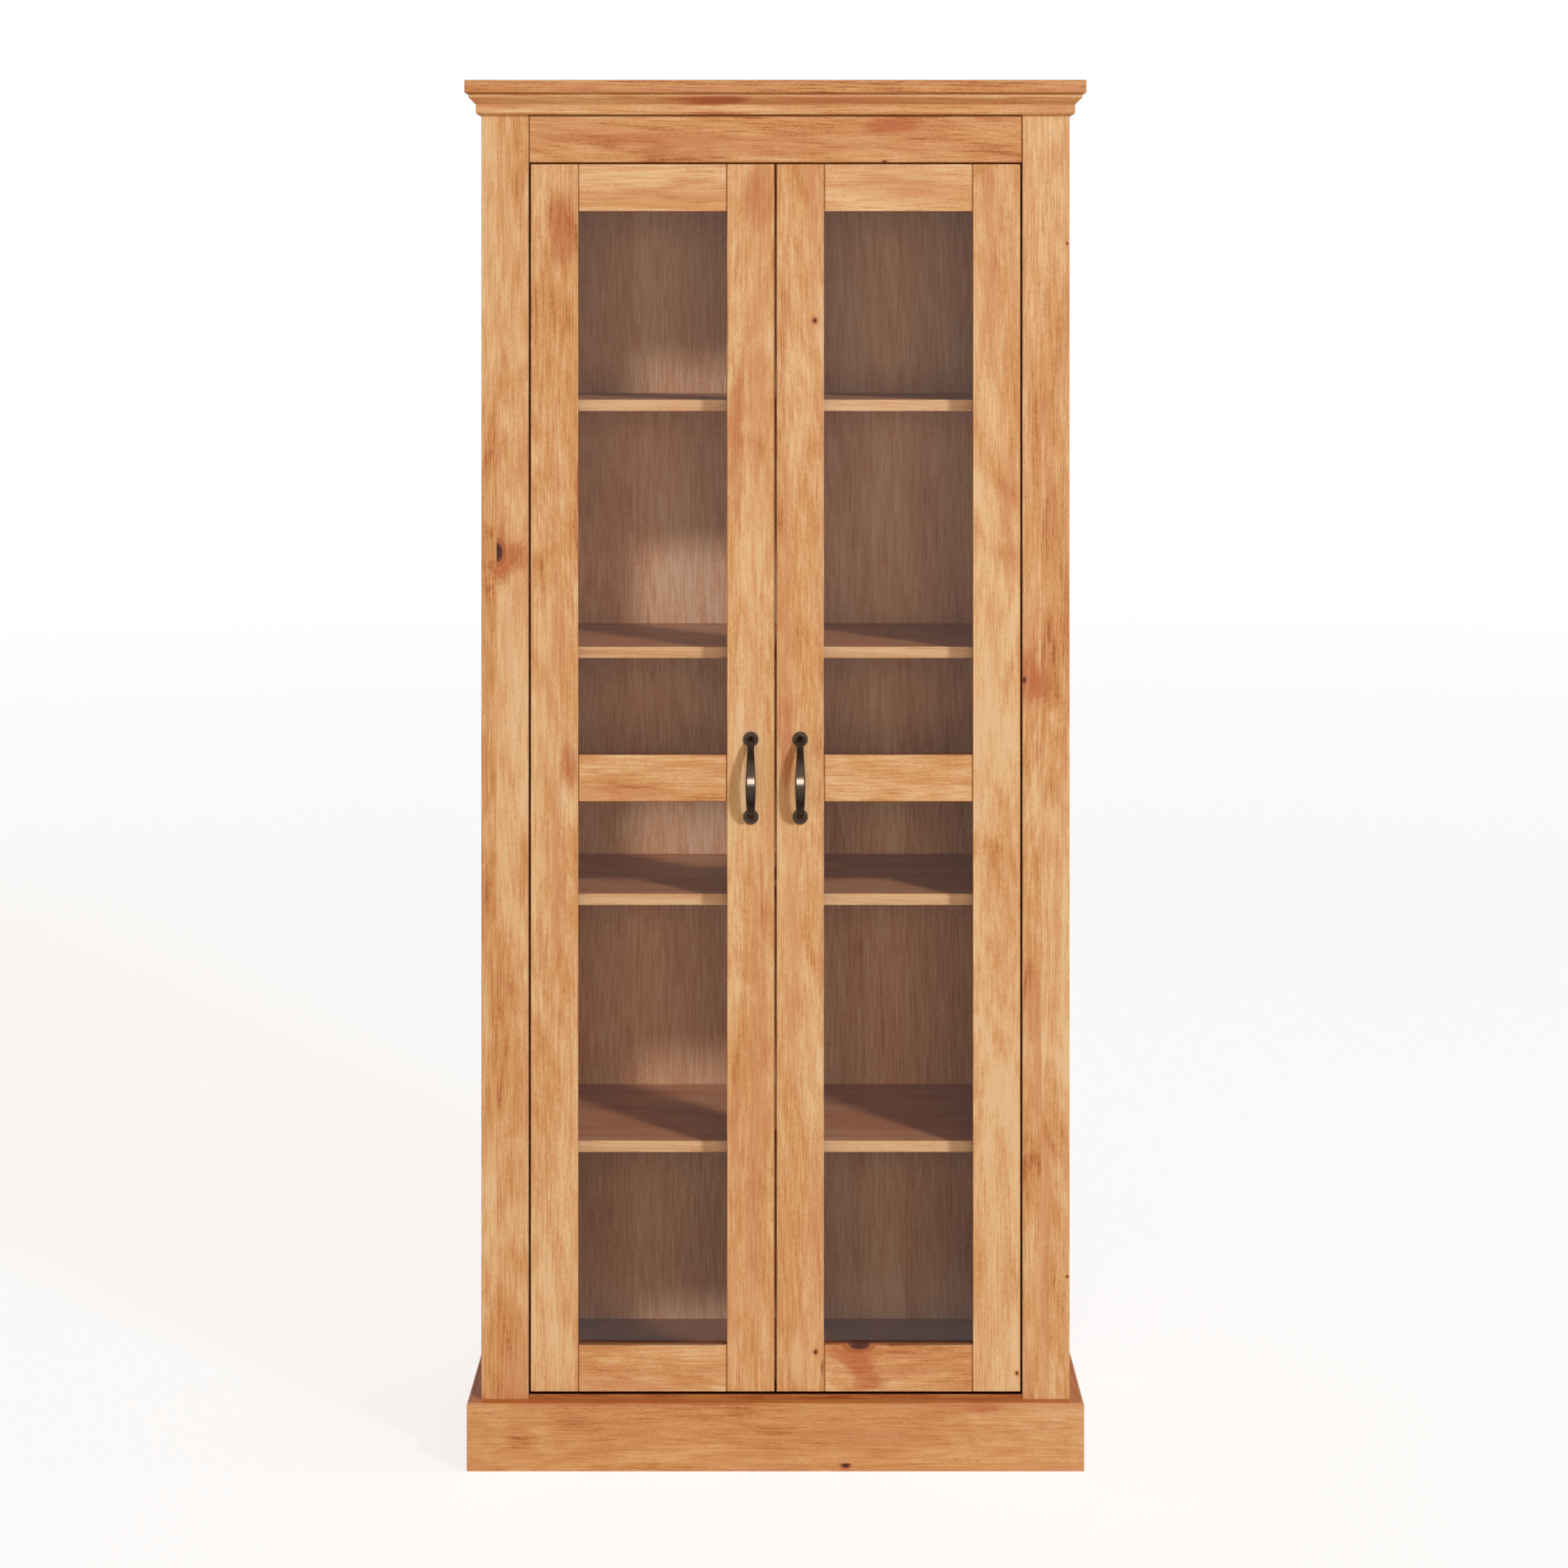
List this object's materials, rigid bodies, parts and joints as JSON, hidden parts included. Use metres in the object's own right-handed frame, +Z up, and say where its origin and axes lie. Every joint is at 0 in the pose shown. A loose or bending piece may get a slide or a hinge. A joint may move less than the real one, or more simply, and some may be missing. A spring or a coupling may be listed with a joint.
{
  "type": "display cabinet",
  "caption": "Tall free-standing pine display cabinet with glazed hinged doors in a face frame, shelves, a stepped crown moulding and a plinth.",
  "frame": {"origin": "on the floor, under the middle of the whole cabinet, handles included", "axes": "+Z up; the doors face -Y; +X is to the right of someone who looks at the front"},
  "size_m": [0.8, 0.373, 1.79],
  "materials": {
    "pine": "satin lacquered honey pine with knots",
    "pine_inside": "satin lacquered honey pine, inside faces",
    "glass": "clear glass with a slight warm grey tint",
    "bronze": "dark antique bronze, brushed",
    "hinge_steel": "nickel-plated pressed steel"
  },
  "bodies": {
    "carcass": {"crown_slab": "pine", "crown_front": "pine", "crown_left": "pine", "crown_right": "pine", "stile_left": "pine", "stile_right": "pine", "header_rail": "pine", "base_rail": "pine", "side_panel_left": "pine", "side_panel_right": "pine", "plinth_front": "pine", "plinth_left": "pine", "plinth_right": "pine", "plinth_back": "pine_inside", "hinge_post_left": "pine_inside", "hinge_post_right": "pine_inside", "bottom_board": "pine_inside", "back_panel": "pine_inside", "shelf_1": "pine_inside", "shelf_2": "pine_inside", "shelf_3": "pine_inside", "shelf_4": "pine_inside", "cleat_1_left": "pine_inside", "cleat_1_right": "pine_inside", "cleat_2_left": "pine_inside", "cleat_2_right": "pine_inside", "cleat_3_left": "pine_inside", "cleat_3_right": "pine_inside", "cleat_4_left": "pine_inside", "cleat_4_right": "pine_inside", "hinge_arm_left_top": "hinge_steel", "hinge_arm_left_middle": "hinge_steel", "hinge_arm_left_bottom": "hinge_steel", "hinge_arm_right_top": "hinge_steel", "hinge_arm_right_middle": "hinge_steel", "hinge_arm_right_bottom": "hinge_steel"},
    "door_left": {"door_left_hinge_stile": "pine", "door_left_meeting_stile": "pine", "door_left_top_rail": "pine", "door_left_middle_rail": "pine", "door_left_bottom_rail": "pine", "door_left_glass_upper": "glass", "door_left_glass_lower": "glass", "door_left_handle": "bronze", "door_left_hinge_cup_top": "hinge_steel", "door_left_hinge_cup_middle": "hinge_steel", "door_left_hinge_cup_bottom": "hinge_steel"},
    "door_right": {"door_right_hinge_stile": "pine", "door_right_meeting_stile": "pine", "door_right_top_rail": "pine", "door_right_middle_rail": "pine", "door_right_bottom_rail": "pine", "door_right_glass_upper": "glass", "door_right_glass_lower": "glass", "door_right_handle": "bronze", "door_right_hinge_cup_top": "hinge_steel", "door_right_hinge_cup_middle": "hinge_steel", "door_right_hinge_cup_bottom": "hinge_steel"}
  },
  "joints": [
    {"name": "door_left_hinge", "type": "hinge", "parent": "carcass", "child": "door_left", "pos_m": [-0.3176, -0.1585, 0.8894], "axis": [0, 0, -1], "range_deg": [0, 105]},
    {"name": "door_right_hinge", "type": "hinge", "parent": "carcass", "child": "door_right", "pos_m": [0.3176, -0.1585, 0.8894], "axis": [0, 0, 1], "range_deg": [0, 105]}
  ]
}
